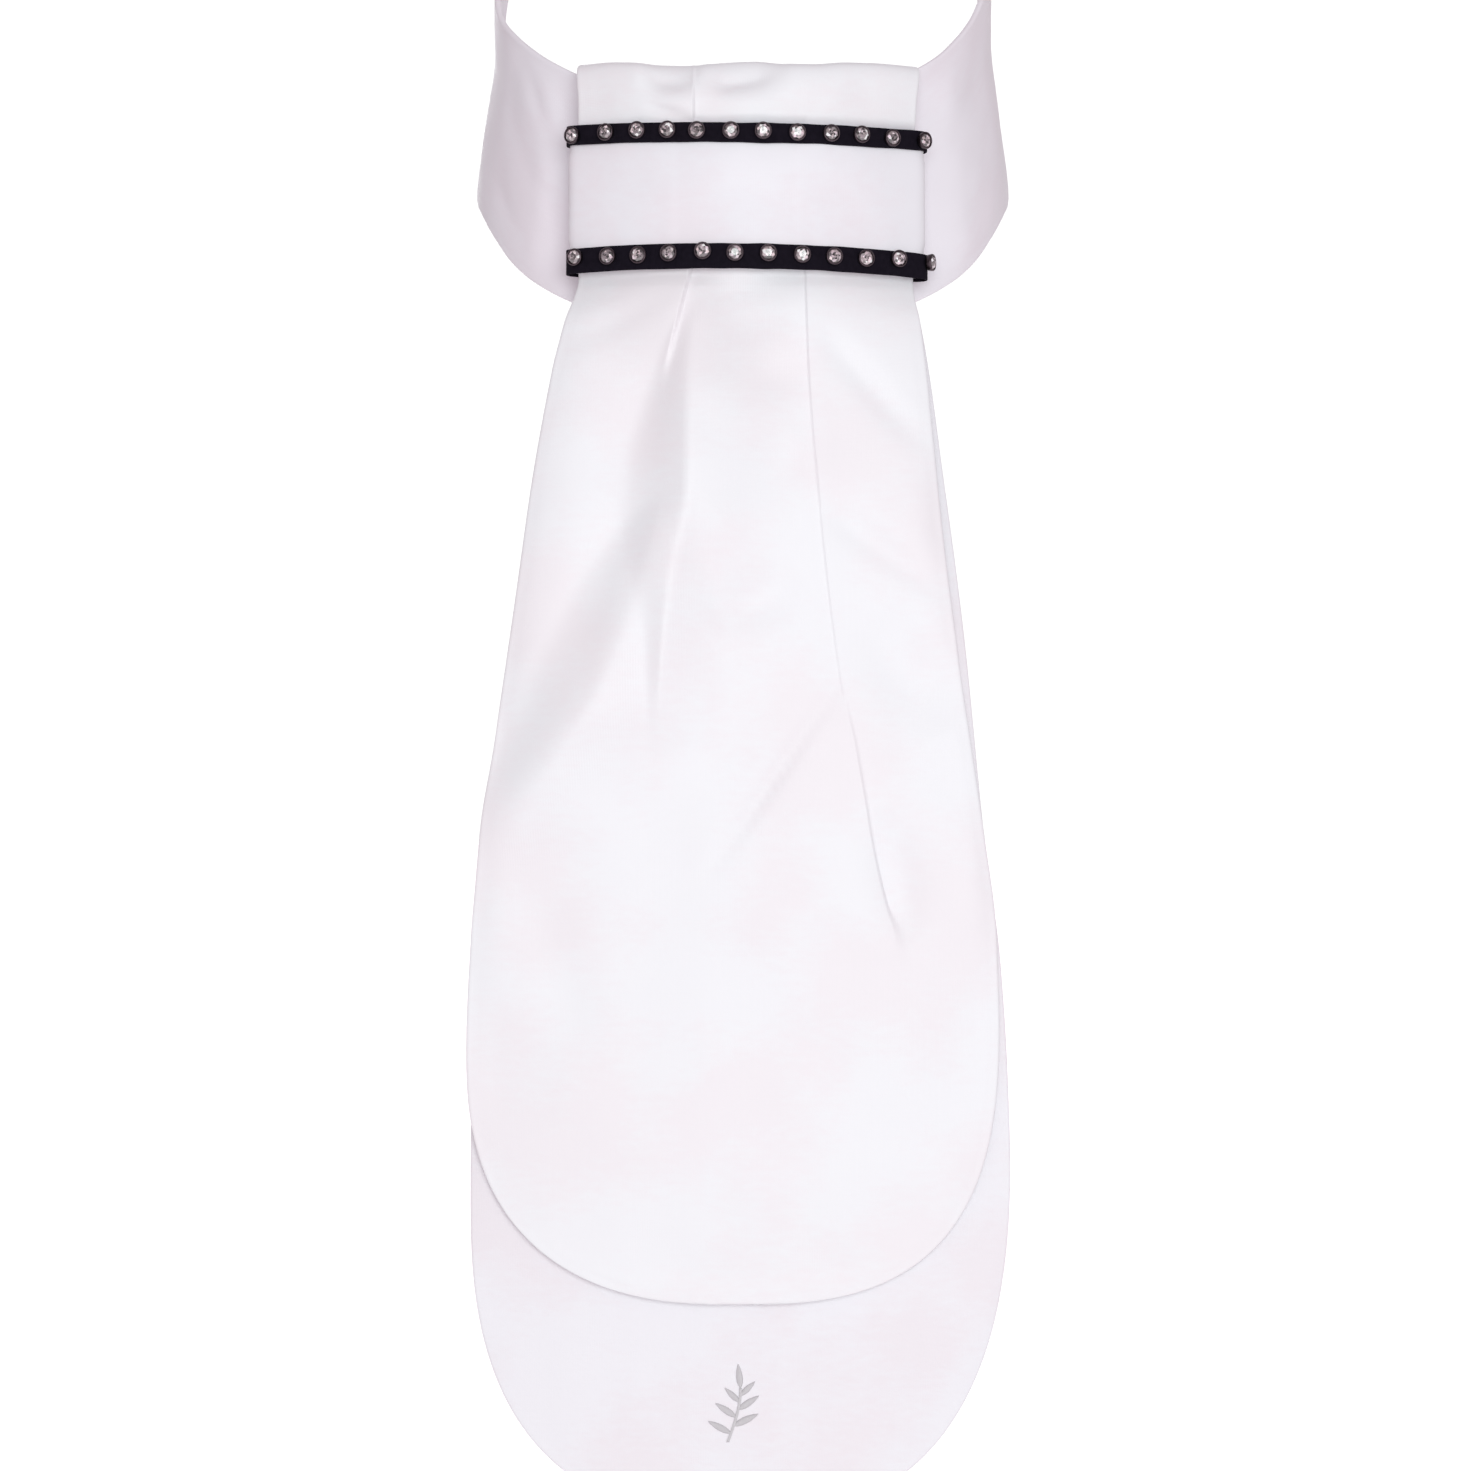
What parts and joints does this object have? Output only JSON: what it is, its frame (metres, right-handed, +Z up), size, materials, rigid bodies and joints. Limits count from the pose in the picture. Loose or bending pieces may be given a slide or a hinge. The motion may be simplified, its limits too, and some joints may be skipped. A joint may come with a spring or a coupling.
{
  "type": "pre-tied riding cravat",
  "caption": "Pre-tied satin cravat with a shaped neck band, a pleated knot held by a banded keeper with crystal-set ribbons, and two round-ended tails.",
  "frame": {"origin": "middle of the neck opening, level with the top of the knot", "axes": "+Z up, the front of the cravat faces -Y, +X to the right as seen from the front"},
  "size_m": [0.1407, 0.1353, 0.4378],
  "materials": {
    "satin": "white satin with a soft sheen",
    "black_ribbon": "matt black ribbon",
    "cup_metal": "polished grey metal",
    "crystal": "clear cut glass",
    "hook_tape": "white hook-and-loop tape"
  },
  "bodies": {
    "root": {"collar_band": "satin", "collar_closure": "hook_tape", "back_tail": "satin", "front_tail": "satin", "keeper": "satin", "ribbon_upper": "black_ribbon", "ribbon_lower": "black_ribbon", "cup_upper_01": "cup_metal", "cup_upper_02": "cup_metal", "cup_upper_03": "cup_metal", "cup_upper_04": "cup_metal", "cup_upper_05": "cup_metal", "cup_upper_06": "cup_metal", "cup_upper_07": "cup_metal", "cup_upper_08": "cup_metal", "cup_upper_09": "cup_metal", "cup_upper_10": "cup_metal", "cup_upper_11": "cup_metal", "cup_upper_12": "cup_metal", "cup_lower_01": "cup_metal", "cup_lower_02": "cup_metal", "cup_lower_03": "cup_metal", "cup_lower_04": "cup_metal", "cup_lower_05": "cup_metal", "cup_lower_06": "cup_metal", "cup_lower_07": "cup_metal", "cup_lower_08": "cup_metal", "cup_lower_09": "cup_metal", "cup_lower_10": "cup_metal", "cup_lower_11": "cup_metal", "cup_lower_12": "cup_metal", "crystal_upper_01": "crystal", "crystal_upper_02": "crystal", "crystal_upper_03": "crystal", "crystal_upper_04": "crystal", "crystal_upper_05": "crystal", "crystal_upper_06": "crystal", "crystal_upper_07": "crystal", "crystal_upper_08": "crystal", "crystal_upper_09": "crystal", "crystal_upper_10": "crystal", "crystal_upper_11": "crystal", "crystal_upper_12": "crystal", "crystal_lower_01": "crystal", "crystal_lower_02": "crystal", "crystal_lower_03": "crystal", "crystal_lower_04": "crystal", "crystal_lower_05": "crystal", "crystal_lower_06": "crystal", "crystal_lower_07": "crystal", "crystal_lower_08": "crystal", "crystal_lower_09": "crystal", "crystal_lower_10": "crystal", "crystal_lower_11": "crystal", "crystal_lower_12": "crystal"}
  },
  "joints": []
}
